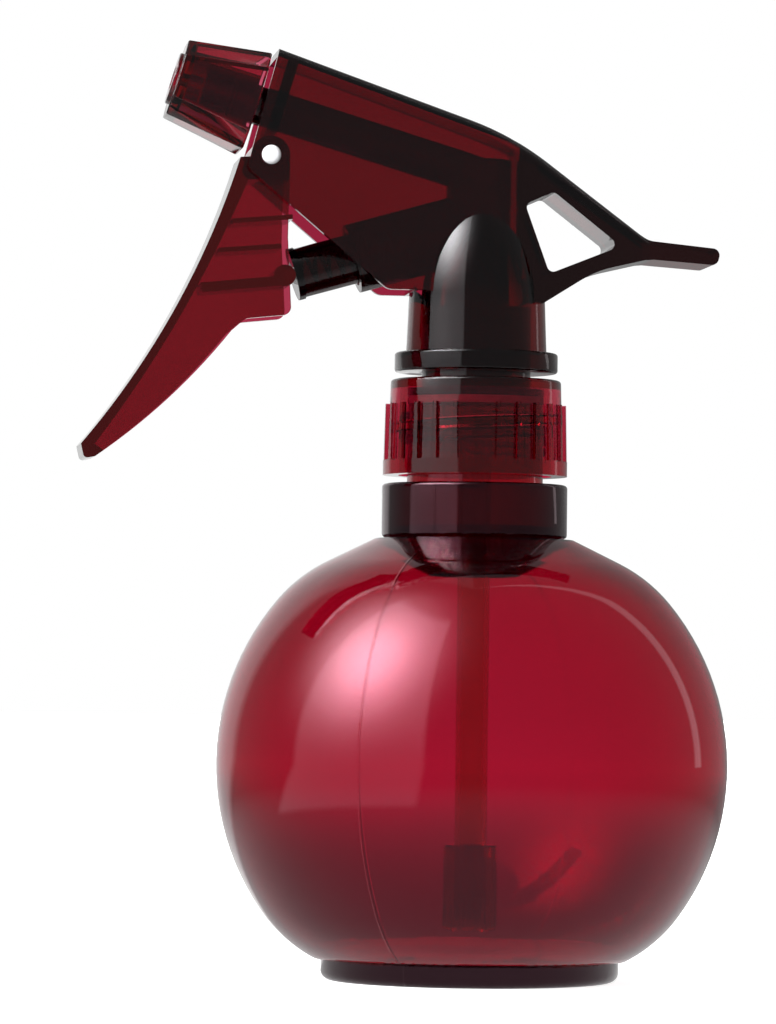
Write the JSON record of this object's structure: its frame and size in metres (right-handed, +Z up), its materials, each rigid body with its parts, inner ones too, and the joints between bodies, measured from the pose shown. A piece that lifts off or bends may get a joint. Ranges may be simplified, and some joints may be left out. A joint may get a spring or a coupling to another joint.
{
  "type": "hand mister",
  "caption": "Trigger hand mister with a round translucent bottle, ribbed screw collar, sprung pump trigger, turning nozzle cap and a looped finger tail.",
  "frame": {"origin": "centre of the bottle's foot ring, on the surface it stands on", "axes": "+Z up along the bottle's axis; the nozzle points towards -X and slightly up; +Y is to the side, square to the plane the head is mirrored about"},
  "size_m": [0.1206, 0.0944, 0.1721],
  "materials": {
    "clear_red": "clear gloss, tinted through",
    "deep_red": "clear gloss, dark where thick",
    "pin_white": "gloss",
    "natural_white": "satin",
    "seal_white": "matt",
    "black_rubber": "matt",
    "steel": "bright"
  },
  "bodies": {
    "bottle": {"bottle": "clear_red"},
    "head": {"head_housing": "deep_red", "pump_body": "deep_red", "tube_retainer": "deep_red", "closure_gasket": "seal_white", "dip_tube": "clear_red", "tube_strainer": "deep_red", "inlet_seat": "natural_white", "pivot_pin": "pin_white", "swirl_insert": "natural_white", "nozzle_seal": "black_rubber", "return_spring": "steel", "outlet_spring": "steel"},
    "collar": {"screw_collar": "deep_red"},
    "trigger": {"trigger": "clear_red"},
    "piston": {"piston": "deep_red", "piston_seal": "seal_white"},
    "nozzle": {"nozzle_cap": "deep_red", "orifice_plate": "clear_red"},
    "inlet_ball": {"inlet_ball": "steel"},
    "outlet_valve": {"outlet_valve": "natural_white"}
  },
  "joints": [
    {"name": "head_lift", "type": "slide", "parent": "bottle", "child": "head", "axis": [0, 0, 1], "range_m": [0, 0.00636]},
    {"name": "collar_turn", "type": "hinge", "parent": "head", "child": "collar", "pos_m": [0, 0, 0.1], "axis": [0, 0, 1], "range_deg": [0, 540]},
    {"name": "trigger_pull", "type": "hinge", "parent": "head", "child": "trigger", "pos_m": [-0.0394, 0, 0.151], "axis": [0, -1, 0], "range_deg": [0, 20], "stiffness_Nm_per_rad": 0.19, "springref_deg": -20.63},
    {"name": "piston_slide", "type": "slide", "parent": "head", "child": "piston", "axis": [0.9613, 0, 0.2756], "range_m": [0, 0.0077], "deforming": ["return_spring"]},
    {"name": "nozzle_twist", "type": "hinge", "parent": "head", "child": "nozzle", "pos_m": [-0.0418, 0, 0.161], "axis": [-0.9588, 0, 0.284], "continuous": true},
    {"name": "inlet_ball_lift", "type": "slide", "parent": "head", "child": "inlet_ball", "axis": [0, 0, 1], "range_m": [0, 0.0008]},
    {"name": "outlet_valve_open", "type": "slide", "parent": "head", "child": "outlet_valve", "axis": [-0.9588, 0, 0.284], "range_m": [0, 0.0006], "stiffness_N_per_m": 20, "springref_m": -0.004, "deforming": ["outlet_spring"]}
  ],
  "couplings": [
    {"joint": "collar_turn", "follows": "head_lift", "rad_per_m": 1481.9},
    {"joint": "piston_slide", "follows": "trigger_pull", "m_per_rad": 0.021976}
  ]
}
